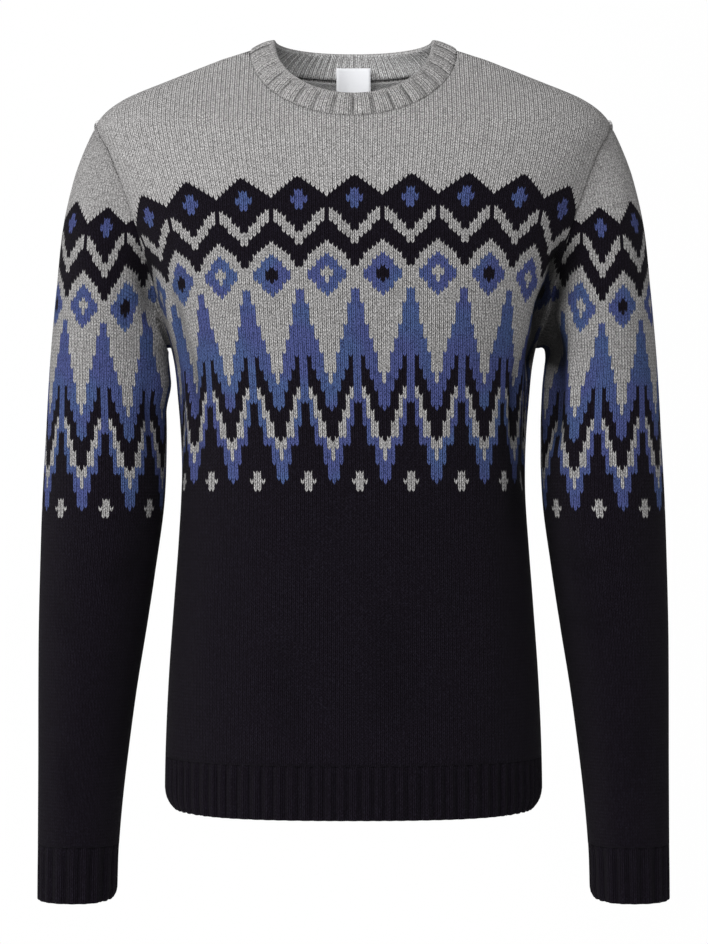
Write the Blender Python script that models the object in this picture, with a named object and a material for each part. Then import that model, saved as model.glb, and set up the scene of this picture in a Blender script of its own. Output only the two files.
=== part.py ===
"""A crew-neck fair isle jumper for an adult, filled out as it hangs on a wearer, with nobody in it.

The garment faces -Y and its left sleeve is at +X. The origin is level with the high point of the
shoulders, midway between the side seams, inside the neck opening. Every piece is a knitted wall:
its outer skin is a grid laid on one shared form, and the wall grows inwards from that skin.
"""

from collections import namedtuple
from math import atan2, cos, pi, radians, sin

import bmesh
import bpy
import numpy as np
from mathutils import Vector

# ---------------------------------------------------------------- driving dimensions, in metres

JERSEY_WALL = 0.0026  # stranded two-colour knitting
RIB_WALL = 0.0030
LABEL_WALL = 0.0010
SEAM_GAP = 0.0003

HEM_EDGE = -0.665
HEM_SEAM = -0.619
UNDERARM = -0.262
SHOULDER_POINT = -0.062
CUFF_SEAM_ROW = 14  # of SLEEVE_RINGS

NECK_HALF_WIDTH = 0.091
FRONT_NECK_DROP = 0.066
BACK_NECK_DROP = 0.018

BAND_HALF_WIDTH = 0.069  # the free edge of the neckband
BAND_FRONT_REACH = 0.066
BAND_BACK_REACH = 0.062
BAND_SIDE_RISE = 0.010
BAND_FRONT_HEIGHT = -0.0445
BAND_BACK_HEIGHT = 0.006
BAND_SWELL = 0.0015

ARMHOLE_OPENING = 0.43  # half the armhole's opening, as a share of the body's half depth

LABEL_WIDTH = 0.031
LABEL_TOP = -0.008
LABEL_LENGTH = 0.030
LABEL_LEAN = 1 / 8  # how far its top stands behind the band's edge, per metre below that edge
LABEL_DEPTH = 1.35  # how many rib walls its back lies inside the band's outer skin

ROUNDNESS = 2.4  # 2 is an ellipse, and more is squarer
SLEEVE_ROUNDNESS = 2.1

BodyRing = namedtuple("BodyRing", "height half_width front_depth back_depth")
BODY_RINGS = [
    BodyRing(-0.665, 0.1660, 0.117, 0.115),
    BodyRing(-0.619, 0.1652, 0.117, 0.115),
    BodyRing(-0.554, 0.1624, 0.117, 0.114),
    BodyRing(-0.484, 0.1575, 0.115, 0.110),
    BodyRing(-0.430, 0.1535, 0.113, 0.107),
    BodyRing(-0.378, 0.1510, 0.113, 0.106),
    BodyRing(-0.343, 0.1518, 0.116, 0.108),
    BodyRing(-0.308, 0.1544, 0.121, 0.112),
    BodyRing(-0.273, 0.1582, 0.125, 0.116),
    BodyRing(-0.262, 0.1605, 0.126, 0.117),
    BodyRing(-0.229, 0.1727, 0.127, 0.119),
    BodyRing(-0.185, 0.1910, 0.124, 0.120),
    BodyRing(-0.147, 0.2033, 0.117, 0.118),
    BodyRing(-0.120, 0.2112, 0.110, 0.115),
    BodyRing(-0.0933, 0.2180, 0.098, 0.109),
    BodyRing(-0.062, 0.2235, 0.0745, 0.099),
    BodyRing(-0.044, 0.2020, 0.055, 0.090),
    BodyRing(-0.0264, 0.1610, 0.036, 0.078),
    BodyRing(-0.0150, 0.1330, 0.0225, 0.061),
    BodyRing(-0.0070, 0.1125, 0.0125, 0.040),
    BodyRing(0.0000, 0.0910, 0.0040, 0.0120),
]

# The sleeve's rings, from the armhole to the cuff's edge. The first seven fan out from the underarm.
SleeveRing = namedtuple("SleeveRing", "outer_x outer_z inner_x inner_z half_depth forward")
SLEEVE_RINGS = [
    SleeveRing(0.2235, -0.062, 0.1605, -0.262, 0.0500, 0.000),
    SleeveRing(0.2380, -0.090, 0.1632, -0.2605, 0.0530, 0.000),
    SleeveRing(0.2490, -0.126, 0.1665, -0.2610, 0.0565, 0.000),
    SleeveRing(0.2560, -0.162, 0.1685, -0.2640, 0.0590, 0.001),
    SleeveRing(0.2600, -0.202, 0.1688, -0.2705, 0.0600, 0.002),
    SleeveRing(0.2640, -0.245, 0.1675, -0.2810, 0.0605, 0.003),
    SleeveRing(0.2672, -0.287, 0.1655, -0.3010, 0.0605, 0.004),
    SleeveRing(0.2700, -0.340, 0.1642, -0.3400, 0.0600, 0.005),
    SleeveRing(0.2730, -0.396, 0.1660, -0.3960, 0.0590, 0.006),
    SleeveRing(0.2747, -0.449, 0.1728, -0.4490, 0.0560, 0.007),
    SleeveRing(0.2760, -0.505, 0.1812, -0.5050, 0.0520, 0.008),
    SleeveRing(0.2763, -0.561, 0.1902, -0.5610, 0.0480, 0.009),
    SleeveRing(0.2763, -0.620, 0.1980, -0.6200, 0.0435, 0.010),
    SleeveRing(0.2764, -0.660, 0.2025, -0.6600, 0.0405, 0.011),
    SleeveRing(0.2765, -0.696, 0.2055, -0.6960, 0.0385, 0.012),
    SleeveRing(0.2768, -0.720, 0.2065, -0.7200, 0.0375, 0.012),
    SleeveRing(0.2770, -0.745, 0.2070, -0.7450, 0.0370, 0.012),
]

# How finely each skin is divided.
NECK_COLUMNS = 7  # from the centre to the high point of the shoulder
SHOULDER_COLUMNS = 5
YOKE_ROWS = 12
BODY_ROWS = 12
BAND_ROWS = 3
HALF_COLUMNS = NECK_COLUMNS + SHOULDER_COLUMNS
NECK_SHARE = NECK_COLUMNS / HALF_COLUMNS

# ---------------------------------------------------------------- the form that the garment fills


def smooth(places, values, place):
    """The value at a place on a smooth curve through the given places and values."""
    slopes = np.gradient(values, places)
    i = int(np.clip(np.searchsorted(places, place) - 1, 0, len(places) - 2))
    step = places[i + 1] - places[i]
    t = (place - places[i]) / step
    return float(
        values[i] * (1 + 2 * t) * (1 - t) ** 2
        + values[i + 1] * t * t * (3 - 2 * t)
        + step * t * (1 - t) * (slopes[i] * (1 - t) - slopes[i + 1] * t)
    )


def body_size(name, height):
    """A named size of the body's form at a height."""
    places = [ring.height for ring in BODY_RINGS]
    return smooth(places, [getattr(ring, name) for ring in BODY_RINGS], height)


def round_off(angle, roundness):
    """Sine and cosine of an angle, pushed out to a squarer ring."""
    s, c = sin(angle), cos(angle)
    reach = (abs(s) ** roundness + abs(c) ** roundness) ** (-1 / roundness)
    return s * reach, c * reach


def other_side(share):
    """How far along the other axis a squarer ring is, where it is this share along the first."""
    return max(0.0, 1 - abs(share) ** ROUNDNESS) ** (1 / ROUNDNESS)


def body_point(turn, height):
    """A point of the body's form. Turn 0 is the centre front, and pi/2 the left side."""
    across, ahead = round_off(turn, ROUNDNESS)
    depth = body_size("front_depth" if ahead >= 0 else "back_depth", height)
    return Vector((body_size("half_width", height) * across, -depth * ahead, height))


def onto_body(point):
    """Pushes a point of the left front or left back out, or in, until it lies on the body's form."""
    depth = body_size("front_depth" if point.y <= 0 else "back_depth", point.z)
    width = body_size("half_width", point.z)
    return body_point(atan2(point.x / width, -point.y / depth), point.z)


def armhole_point(fall, back):
    """A point of the left armhole's seam, from the shoulder (fall 0) to the underarm (pi)."""
    ahead = ARMHOLE_OPENING * sin(fall)
    turn = atan2(other_side(ahead), ahead)
    height = SHOULDER_POINT + (UNDERARM - SHOULDER_POINT) * (1 - cos(fall)) / 2
    return body_point(pi - turn if back else turn, height)


def neck_point(turn, back):
    """A point of the neck's seam, from the centre of the front or back (turn 0) to the shoulder."""
    height = -(BACK_NECK_DROP if back else FRONT_NECK_DROP) * cos(turn)
    across = NECK_HALF_WIDTH * sin(turn) / body_size("half_width", height)
    turn = atan2(across, other_side(across))
    return body_point(pi - turn if back else turn, height)


def top_point(u, back):
    """A point of a half panel's upper edge: the neck's seam, and then the shoulder's."""
    if u <= NECK_SHARE:
        return neck_point(pi / 2 * u / NECK_SHARE, back)
    return body_point(pi / 2, SHOULDER_POINT * (u - NECK_SHARE) / (1 - NECK_SHARE))


def yoke_point(u, v, back):
    """A point of a half panel above the underarm, blended between its four edges."""

    def centre(v):
        drop = BACK_NECK_DROP if back else FRONT_NECK_DROP
        return body_point(pi if back else 0.0, UNDERARM + v * (-drop - UNDERARM))

    def side(v):
        return armhole_point(pi * (1 - v), back)

    def lower(u):
        return body_point(pi - pi / 2 * u if back else pi / 2 * u, UNDERARM)

    point = lower(u).lerp(top_point(u, back), v) + centre(v).lerp(side(v), u)
    return onto_body(point - centre(0).lerp(side(0), u).lerp(centre(1).lerp(side(1), u), v))


def panel_point(across, v, back):
    """A point of the front or back panel, across from -1 to 1 and v from the hem's seam to the top."""
    u = abs(across)
    rise = v * (BODY_ROWS + YOKE_ROWS) / BODY_ROWS
    if rise <= 1:
        turn = pi - pi / 2 * u if back else pi / 2 * u
        point = body_point(turn, HEM_SEAM + (UNDERARM - HEM_SEAM) * rise)
    else:
        point = yoke_point(u, (rise - 1) * BODY_ROWS / YOKE_ROWS, back)
    return on_side(point, across)


def on_side(point, across):
    """The same point on the wearer's left or right."""
    return point if across >= 0 else Vector((-point.x, point.y, point.z))


def front_point(u, v):
    return panel_point(2 * u - 1, v, False)


def back_point(u, v):
    return panel_point(1 - 2 * u, v, True)


def hem_front_point(u, v):
    return body_point(pi / 2 * (2 * u - 1), HEM_EDGE + (HEM_SEAM - HEM_EDGE) * v)


def hem_back_point(u, v):
    return body_point(pi + pi / 2 * (2 * u - 1), HEM_EDGE + (HEM_SEAM - HEM_EDGE) * v)


def ring_point(row, around):
    """A point of a ring of the left sleeve, around from the underarm, by the front, and back."""
    ring = SLEEVE_RINGS[row]
    ahead, out = round_off(pi - around * 2 * pi, SLEEVE_ROUNDNESS)
    outer = Vector((ring.outer_x, 0, ring.outer_z))
    inner = Vector((ring.inner_x, 0, ring.inner_z))
    point = (outer + inner) / 2 + (outer - inner) / 2 * out
    point.y = -ring.half_depth * ahead - ring.forward
    return point


def sleeve_point(u, v):
    row = round(CUFF_SEAM_ROW * (1 - v))
    return armhole_point(abs(pi - u * 2 * pi), u > 0.5) if row == 0 else ring_point(row, u)


def cuff_point(u, v):
    last = len(SLEEVE_RINGS) - 1
    return ring_point(round(last + (CUFF_SEAM_ROW - last) * v), u)


def neckband_point(u, v):
    """A point of the neckband, from its seam (v 0) to its free edge (v 1), around from the back."""
    turn = 2 * pi * u - pi
    back = abs(turn) > pi / 2
    from_centre = pi - abs(turn) if back else abs(turn)
    seam = on_side(neck_point(from_centre, back), turn)
    reach = -BAND_BACK_REACH if back else BAND_FRONT_REACH
    end_height = BAND_BACK_HEIGHT if back else BAND_FRONT_HEIGHT
    edge = Vector(
        (
            BAND_HALF_WIDTH * sin(turn),
            -reach * cos(from_centre),
            BAND_SIDE_RISE + (end_height - BAND_SIDE_RISE) * cos(from_centre),
        )
    )
    swell = Vector((sin(turn), -cos(turn), 1.0)).normalized() * BAND_SWELL * sin(pi * v)
    return seam.lerp(edge, v) + swell


def label_point(u, v):
    """A point of the label, which is sewn inside the back of the neckband and hangs from there."""
    across = LABEL_WIDTH * (0.5 - u)
    top_y = BAND_BACK_REACH + (BAND_BACK_HEIGHT - LABEL_TOP) * LABEL_LEAN
    curve = across * across / (2 * BAND_HALF_WIDTH)
    inside = RIB_WALL * LABEL_DEPTH + SEAM_GAP + LABEL_WALL
    return Vector((across, top_y - curve - inside, LABEL_TOP + LABEL_LENGTH * (v - 1)))


# ---------------------------------------------------------------- skins, walls and materials


def skin(columns, rows, point, tube=False, mirrored=False):
    """A grid laid on the form. A tube's two side edges are joined, and a mirrored skin is at -X."""
    bm = bmesh.new()
    bmesh.ops.create_grid(bm, x_segments=columns, y_segments=rows, size=1)
    for vert in bm.verts:
        column = round((vert.co.x + 1) / 2 * columns)
        row = round((vert.co.y + 1) / 2 * rows)
        vert.co = point(column / columns, row / rows)
        if mirrored:
            vert.co.x = -vert.co.x
    if tube:
        bmesh.ops.remove_doubles(bm, verts=bm.verts[:], dist=1e-5)
    if mirrored:
        bmesh.ops.reverse_faces(bm, faces=bm.faces[:])
    bm.normal_update()
    return bm


def key(point):
    return tuple(round(c, 5) for c in point)


def share_normals(skins):
    """Keeps each point's direction outwards, which the pieces that meet at a seam agree on."""
    shared = {}
    for bm in skins.values():
        for vert in bm.verts:
            total = shared.setdefault(key(vert.co), Vector((0, 0, 0)))
            total += vert.normal
    for bm in skins.values():
        outward = bm.verts.layers.float_vector.new("outward")
        for vert in bm.verts:
            vert[outward] = shared[key(vert.co)].normalized()


def stand_back(bm):
    """Draws the piece's edges back by half the gap that it keeps from its neighbours."""
    moves = {}
    for vert in bm.verts:
        if vert.is_boundary:
            inside = [e.other_vert(vert).co for e in vert.link_edges if not e.is_boundary]
            if not inside:  # a corner
                inside = [e.other_vert(vert).co for e in vert.link_edges]
            middle = sum(inside, Vector()) / len(inside)
            moves[vert] = (middle - vert.co).normalized() * SEAM_GAP / 2
    for vert, move in moves.items():
        vert.co += move


def thicken(bm, wall):
    """Grows the wall inwards from the skin, which stays as its outer face."""
    outward = bm.verts.layers.float_vector["outward"]
    grown = bmesh.ops.extrude_face_region(bm, geom=bm.faces[:], use_keep_orig=True)
    for vert in grown["geom"]:
        if isinstance(vert, bmesh.types.BMVert):
            vert.co -= vert[outward] * wall
    bmesh.ops.triangulate(bm, faces=bm.faces[:])
    bmesh.ops.recalc_face_normals(bm, faces=bm.faces[:])


def knit_material(name, colour, roughness=0.9):
    material = bpy.data.materials.new(name)
    material.use_nodes = True
    shader = material.node_tree.nodes["Principled BSDF"]
    shader.inputs["Base Color"].default_value = (*colour, 1.0)
    shader.inputs["Roughness"].default_value = roughness
    shader.inputs["Metallic"].default_value = 0.0
    return material


def add_piece(collection, name, bm, material):
    mesh = bpy.data.meshes.new(name)
    bm.to_mesh(mesh)
    bm.free()
    mesh.shade_smooth()
    mesh.set_sharp_from_angle(angle=radians(50))
    mesh.materials.append(material)
    collection.objects.link(bpy.data.objects.new(name, mesh))


def clear_scene():
    for obj in list(bpy.data.objects):
        bpy.data.objects.remove(obj)


def build_jumper():
    clear_scene()
    jumper = bpy.data.collections.new("fair_isle_jumper")
    bpy.context.scene.collection.children.link(jumper)

    wide = 2 * HALF_COLUMNS
    tall = BODY_ROWS + YOKE_ROWS
    around = 2 * YOKE_ROWS
    cuff_rows = len(SLEEVE_RINGS) - 1 - CUFF_SEAM_ROW
    skins = {
        "front": skin(wide, tall, front_point),
        "back": skin(wide, tall, back_point),
        "sleeve_left": skin(around, CUFF_SEAM_ROW, sleeve_point, tube=True),
        "sleeve_right": skin(around, CUFF_SEAM_ROW, sleeve_point, tube=True, mirrored=True),
        "neckband": skin(4 * NECK_COLUMNS, BAND_ROWS, neckband_point, tube=True),
        "hem_front": skin(wide, 2, hem_front_point),
        "hem_back": skin(wide, 2, hem_back_point),
        "cuff_left": skin(around, cuff_rows, cuff_point, tube=True),
        "cuff_right": skin(around, cuff_rows, cuff_point, tube=True, mirrored=True),
        "label": skin(4, 4, label_point),
    }
    grey = knit_material("grey_marl_wool", (0.30, 0.29, 0.28))
    night = knit_material("night_navy_wool", (0.012, 0.010, 0.016))
    white = knit_material("white_label_tape", (0.80, 0.81, 0.84), 0.6)
    finishes = {"front": grey, "back": grey, "neckband": grey, "label": white}

    share_normals(skins)
    for name, bm in skins.items():
        wall = RIB_WALL if name.startswith(("neckband", "hem", "cuff")) else JERSEY_WALL
        stand_back(bm)
        thicken(bm, LABEL_WALL if name == "label" else wall)
        add_piece(jumper, name, bm, finishes.get(name, night))


build_jumper()
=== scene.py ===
# %% [markdown]
# # A fair isle jumper that stands open with nobody in it
#
# The real jumper is knitted in stranded wool. It has a front, a back, two sleeves, ribbed edges and
# a woven label at the neck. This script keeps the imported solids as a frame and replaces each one
# with a finer piece of the same form, because a plain solid has no creases, ribs or stitches. The
# frame is loaded first, so that its box is known before anything is added.

from collections import namedtuple
from math import pi, radians

import bmesh
import bpy
import numpy as np
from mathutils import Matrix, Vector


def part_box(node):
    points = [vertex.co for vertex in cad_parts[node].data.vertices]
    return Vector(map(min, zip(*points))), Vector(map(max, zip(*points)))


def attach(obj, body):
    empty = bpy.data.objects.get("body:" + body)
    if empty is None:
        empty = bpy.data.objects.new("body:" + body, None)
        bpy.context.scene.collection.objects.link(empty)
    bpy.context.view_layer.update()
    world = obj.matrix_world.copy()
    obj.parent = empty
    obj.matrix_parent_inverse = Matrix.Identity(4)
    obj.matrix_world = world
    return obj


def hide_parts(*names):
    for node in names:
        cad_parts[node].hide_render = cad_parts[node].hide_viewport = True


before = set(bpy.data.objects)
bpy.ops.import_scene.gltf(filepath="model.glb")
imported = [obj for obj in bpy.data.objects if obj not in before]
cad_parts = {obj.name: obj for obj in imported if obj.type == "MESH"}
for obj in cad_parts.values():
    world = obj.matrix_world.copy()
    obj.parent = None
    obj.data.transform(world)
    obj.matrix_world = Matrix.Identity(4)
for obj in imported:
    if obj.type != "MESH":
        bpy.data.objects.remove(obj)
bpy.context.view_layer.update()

# %% [markdown]
# ## The form that fills the garment
#
# A worn jumper takes the shape of the body in it, so every piece is laid on one shared form. The
# form could be sculpted, but a table of rings says it in a few rows that can be checked: each ring
# of the body has a height, a half width, and a depth in front and behind. The rings are squarer
# than an ellipse, as a ribcage is. A smooth curve through the table gives every height between.

# %% The body's rings
BODY_RINGS = np.array([
    # height, half width, front depth, back depth
    (-0.665, 0.1660, 0.117, 0.115),
    (-0.619, 0.1652, 0.117, 0.115),
    (-0.554, 0.1624, 0.117, 0.114),
    (-0.484, 0.1575, 0.115, 0.110),
    (-0.430, 0.1535, 0.113, 0.107),
    (-0.378, 0.1510, 0.113, 0.106),
    (-0.343, 0.1518, 0.116, 0.108),
    (-0.308, 0.1544, 0.121, 0.112),
    (-0.273, 0.1582, 0.125, 0.116),
    (-0.262, 0.1605, 0.126, 0.117),
    (-0.229, 0.1727, 0.127, 0.119),
    (-0.185, 0.1910, 0.124, 0.120),
    (-0.147, 0.2033, 0.117, 0.118),
    (-0.120, 0.2112, 0.110, 0.115),
    (-0.0933, 0.2180, 0.098, 0.109),
    (-0.062, 0.2235, 0.0745, 0.099),
    (-0.044, 0.2020, 0.055, 0.090),
    (-0.0264, 0.1610, 0.036, 0.078),
    (-0.0150, 0.1330, 0.0225, 0.061),
    (-0.0070, 0.1125, 0.0125, 0.040),
    (0.0000, 0.0910, 0.0040, 0.0120),
])
HEIGHT, HALF_WIDTH, FRONT_DEPTH, BACK_DEPTH = range(4)
BODY_ROUNDNESS = 2.4  # 2 is an ellipse, and more is squarer


def smooth(places, values, place):
    """Values on a smooth curve through the given places and values."""
    slopes = np.gradient(values, places)
    i = np.clip(np.searchsorted(places, place) - 1, 0, len(places) - 2)
    step = places[i + 1] - places[i]
    t = (place - places[i]) / step
    return (
        values[i] * (1 + 2 * t) * (1 - t) ** 2
        + values[i + 1] * t * t * (3 - 2 * t)
        + step * t * (1 - t) * (slopes[i] * (1 - t) - slopes[i + 1] * t)
    )


def body_size(column, height):
    return smooth(BODY_RINGS[:, HEIGHT], BODY_RINGS[:, column], height)


def round_off(angle, roundness):
    """Sine and cosine of an angle, pushed out to a squarer ring."""
    s, c = np.sin(angle), np.cos(angle)
    reach = (abs(s) ** roundness + abs(c) ** roundness) ** (-1 / roundness)
    return s * reach, c * reach


def depth_of(ahead, height):
    return np.where(ahead >= 0, body_size(FRONT_DEPTH, height), body_size(BACK_DEPTH, height))


def body_point(turn, height):
    """Points of the body. Turn 0 is the centre front, and pi/2 the wearer's left side."""
    turn, height = np.broadcast_arrays(np.asarray(turn, float), np.asarray(height, float))
    across, ahead = round_off(turn, BODY_ROUNDNESS)
    x = body_size(HALF_WIDTH, height) * across
    return np.stack([x, -depth_of(ahead, height) * ahead, height], axis=-1)


def turn_of(point):
    """How far round the body a point is, whether or not it lies on the form."""
    x, y, z = np.moveaxis(point, -1, 0)
    return np.arctan2(x / body_size(HALF_WIDTH, z), -y / depth_of(-y, z))


print("chest, in metres:", 2 * float(body_size(HALF_WIDTH, np.array(-0.262))))

# %% [markdown]
# ## Where the panels are cut
#
# A crew-neck jumper's panels meet at the side seams, the shoulders, the armholes and the neck.
# The armhole is an arc from the point of the shoulder to the underarm, and the neckline is half an
# ellipse that dips further in front. Each half panel above the underarm is blended between its
# four edges, which keeps the seams exact, and is then pushed onto the form.

# %% Seam lines
HEM_EDGE = -0.665
HEM_SEAM = -0.619
UNDERARM = -0.262
SHOULDER_POINT = -0.062
ARMHOLE_OPENING = 0.43  # half of its opening, as a share of the body's half depth
NECK_HALF_WIDTH = 0.091
FRONT_NECK_DROP = 0.066
BACK_NECK_DROP = 0.018
NECK_SHARE = 7 / 12  # of a half panel's upper edge
YOKE_SHARE = 1 / 2  # of a panel's rows


def other_side(share):
    return np.maximum(0, 1 - abs(share) ** BODY_ROUNDNESS) ** (1 / BODY_ROUNDNESS)


def armhole_point(fall, back):
    """Points of the left armhole, from the shoulder (fall 0) to the underarm (pi)."""
    ahead = ARMHOLE_OPENING * np.sin(fall)
    turn = np.arctan2(other_side(ahead), ahead)
    height = SHOULDER_POINT + (UNDERARM - SHOULDER_POINT) * (1 - np.cos(fall)) / 2
    return body_point(np.where(back, pi - turn, turn), height)


def neck_drop(back):
    return BACK_NECK_DROP if back else FRONT_NECK_DROP


def neck_point(turn, back):
    """Points of the neckline, from the centre (turn 0) to the high point of the shoulder."""
    height = -neck_drop(back) * np.cos(turn)
    across = NECK_HALF_WIDTH * np.sin(turn) / body_size(HALF_WIDTH, height)
    turn = np.arctan2(across, other_side(across))
    return body_point(pi - turn if back else turn, height)


def lerp(a, b, share):
    return a + (b - a) * np.asarray(share)[..., None]


def yoke_point(u, v, back):
    """Points of a half panel above the underarm, u from its centre and v from the underarm."""

    def top(u):
        neck = neck_point(pi / 2 * np.minimum(u / NECK_SHARE, 1), back)
        fall = SHOULDER_POINT * np.clip((u - NECK_SHARE) / (1 - NECK_SHARE), 0, 1)
        return np.where((u <= NECK_SHARE)[..., None], neck, body_point(pi / 2, fall))

    def low(u):
        return body_point(pi - pi / 2 * u if back else pi / 2 * u, UNDERARM)

    def centre(v):
        return body_point(pi if back else 0, UNDERARM - v * (UNDERARM + neck_drop(back)))

    def side(v):
        return armhole_point(pi * (1 - v), back)

    corners = lerp(lerp(centre(0 * v), side(0 * v), u), lerp(centre(0 * v + 1), side(0 * v + 1), u), v)
    flat = lerp(low(u), top(u), v) + lerp(centre(v), side(v), u) - corners
    return body_point(turn_of(flat), flat[..., 2])


def panel_point(across, v, back):
    """Points of the front or back, across from -1 to 1 and v from the hem's seam to the top."""
    u = abs(across)
    turn = pi - pi / 2 * u if back else pi / 2 * u
    share = np.clip(v / (1 - YOKE_SHARE), 0, 1)
    below = body_point(turn, HEM_SEAM + (UNDERARM - HEM_SEAM) * share)
    above = yoke_point(u, np.clip((v - 1 + YOKE_SHARE) / YOKE_SHARE, 0, 1), back)
    point = np.where((v <= 1 - YOKE_SHARE)[..., None], below, above)
    point[..., 0] *= np.where(across < 0, -1, 1)
    return point


_, front_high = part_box("front")
print("front solid's half width:", round(front_high.x, 4), "and the form's:", BODY_RINGS[15, 1])

# %% [markdown]
# ## The sleeve's rings
#
# A sleeve is a tube that starts at the armhole's loop and hangs almost straight down. Its first
# rings fan out from the underarm, which is why their outer ends are spread and their inner ends are
# close together. The cuff goes on from the same table, so the two meet at one ring.

# %% Sleeve form
SLEEVE_RINGS = np.array([
    # outer x, outer z, inner x, inner z, half depth, forward
    (0.2235, -0.062, 0.1605, -0.2620, 0.0500, 0.000),
    (0.2380, -0.090, 0.1632, -0.2605, 0.0530, 0.000),
    (0.2490, -0.126, 0.1665, -0.2610, 0.0565, 0.000),
    (0.2560, -0.162, 0.1685, -0.2640, 0.0590, 0.001),
    (0.2600, -0.202, 0.1688, -0.2705, 0.0600, 0.002),
    (0.2640, -0.245, 0.1675, -0.2810, 0.0605, 0.003),
    (0.2672, -0.287, 0.1655, -0.3010, 0.0605, 0.004),
    (0.2700, -0.340, 0.1642, -0.3400, 0.0600, 0.005),
    (0.2730, -0.396, 0.1660, -0.3960, 0.0590, 0.006),
    (0.2747, -0.449, 0.1728, -0.4490, 0.0560, 0.007),
    (0.2760, -0.505, 0.1812, -0.5050, 0.0520, 0.008),
    (0.2763, -0.561, 0.1902, -0.5610, 0.0480, 0.009),
    (0.2763, -0.620, 0.1980, -0.6200, 0.0435, 0.010),
    (0.2764, -0.660, 0.2025, -0.6600, 0.0405, 0.011),
    (0.2765, -0.696, 0.2055, -0.6960, 0.0385, 0.012),
    (0.2768, -0.720, 0.2065, -0.7200, 0.0375, 0.012),
    (0.2770, -0.745, 0.2070, -0.7450, 0.0370, 0.012),
])
SLEEVE_ROUNDNESS = 2.1
CUFF_SEAM = 14  # the ring where the sleeve ends and the cuff starts
CUFF_EDGE = 16
ARMHOLE_FADE = 1.6  # rings over which the armhole's loop becomes a plain ring


def ease(share):
    """0 below 0, 1 above 1, and a soft step between."""
    share = np.clip(share, 0, 1)
    return share * share * (3 - 2 * share)


def sleeve_point(ring, around):
    """Points of the left sleeve, around from the underarm, by the front, the outside and the back."""
    ring, around = np.broadcast_arrays(ring, around)
    places = np.arange(len(SLEEVE_RINGS))
    sizes = [smooth(places, SLEEVE_RINGS[:, i], ring) for i in range(6)]
    outer_x, outer_z, inner_x, inner_z, half_depth, forward = sizes
    ahead, out = round_off(pi - around * 2 * pi, SLEEVE_ROUNDNESS)
    x = (outer_x + inner_x) / 2 + (outer_x - inner_x) / 2 * out
    z = (outer_z + inner_z) / 2 + (outer_z - inner_z) / 2 * out
    plain = np.stack([x, -half_depth * ahead - forward, z], axis=-1)
    loop = armhole_point(abs(pi - around * 2 * pi), around > 0.5)
    return lerp(loop, plain, ease(ring / ARMHOLE_FADE))


_, left_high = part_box("sleeve_left")
print("sleeve solid reaches x", round(left_high.x, 4), "and the form", SLEEVE_RINGS[14, 0])

# %% [markdown]
# ## Laying a skin on the form
#
# Each knitted piece starts as a flat grid from bmesh. Its points are moved onto the form and then
# pushed in or out along the surface for creases, rolled seams and ribs. The same grid carries a UV
# map named stitches, which counts stitches across and rows down, so the material can knit the
# pattern stitch by stitch. Counting along the cloth, and not through space, is what makes the
# pattern follow the garment round its sides. A second record says how much shade the material
# paints into the colour at each point: more the deeper a fold, groove or armpit is.

# %% Grid, normals and UV map
def grid(columns, rows):
    """The shares across and up of a grid's points, as rows by columns."""
    u, v = np.meshgrid(np.arange(columns + 1) / columns, np.arange(rows + 1) / rows)
    return u, v


def along(points, axis, tube):
    """The direction of the grid's lines at each point, joined up where the piece is a tube."""
    if tube:
        ahead = np.concatenate([points[:, 1:], points[:, 1:2]], axis=1)
        behind = np.concatenate([points[:, -2:-1], points[:, :-1]], axis=1)
        return ahead - behind
    return np.gradient(points, axis=axis)


def outward(points, tube=False):
    """The unit normals of a laid grid."""
    normal = np.cross(along(points, 1, tube), np.gradient(points, axis=0))
    return normal / np.linalg.norm(normal, axis=-1, keepdims=True).clip(1e-9)


def on_one_side(points):
    """Points of both halves, all brought to the wearer's left."""
    return np.concatenate([abs(points[..., :1]), points[..., 1:]], axis=-1)


def length_across(points):
    """How far along its row each point is, in metres."""
    steps = np.linalg.norm(np.diff(points, axis=1), axis=-1)
    return np.concatenate([np.zeros((len(points), 1)), steps.cumsum(axis=1)], axis=1)


def length_up(points):
    """How far up its column each point is, in metres."""
    return length_across(points.swapaxes(0, 1)).T


def skin(points, stitches, painted_shade, tube=False, mirrored=False):
    """A bmesh grid moved to these places, with its stitches in a UV map and its painted shade kept
    too.
    """
    rows, columns = points.shape[0] - 1, points.shape[1] - 1
    bm = bmesh.new()
    bmesh.ops.create_grid(bm, x_segments=columns, y_segments=rows, size=1)
    uv = bm.loops.layers.uv.new("stitches")
    # a record of how much shade the material paints into the colour at each point
    deep = bm.verts.layers.float.new("painted_shade")
    for vert in bm.verts:
        column = round((vert.co.x + 1) / 2 * columns)
        row = round((vert.co.y + 1) / 2 * rows)
        vert.co = points[row, column]
        vert[deep] = painted_shade[row, column]
        for loop in vert.link_loops:
            loop[uv].uv = stitches[row, column]
    if tube:
        bmesh.ops.remove_doubles(bm, verts=bm.verts[:], dist=1e-6)
    if mirrored:
        bmesh.ops.reverse_faces(bm, faces=bm.faces[:])
    return bm


def add_piece(name, bm, materials):
    """Turns a bmesh into a smooth object at the origin."""
    mesh = bpy.data.meshes.new(name)
    bm.to_mesh(mesh)
    bm.free()
    mesh.shade_smooth()
    piece = bpy.data.objects.new(name, mesh)
    bpy.context.scene.collection.objects.link(piece)
    for material in materials:
        mesh.materials.append(material)
    print(name, "has", len(mesh.polygons), "faces")
    return piece


def wall(piece, thickness):
    """Grows the cloth's thickness inwards. Its inner face takes the piece's second material."""
    solidify = piece.modifiers.new("wall", "SOLIDIFY")
    solidify.thickness = thickness
    solidify.offset = -1
    solidify.use_rim = True
    solidify.material_offset = 1
    solidify.material_offset_rim = 0
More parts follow.
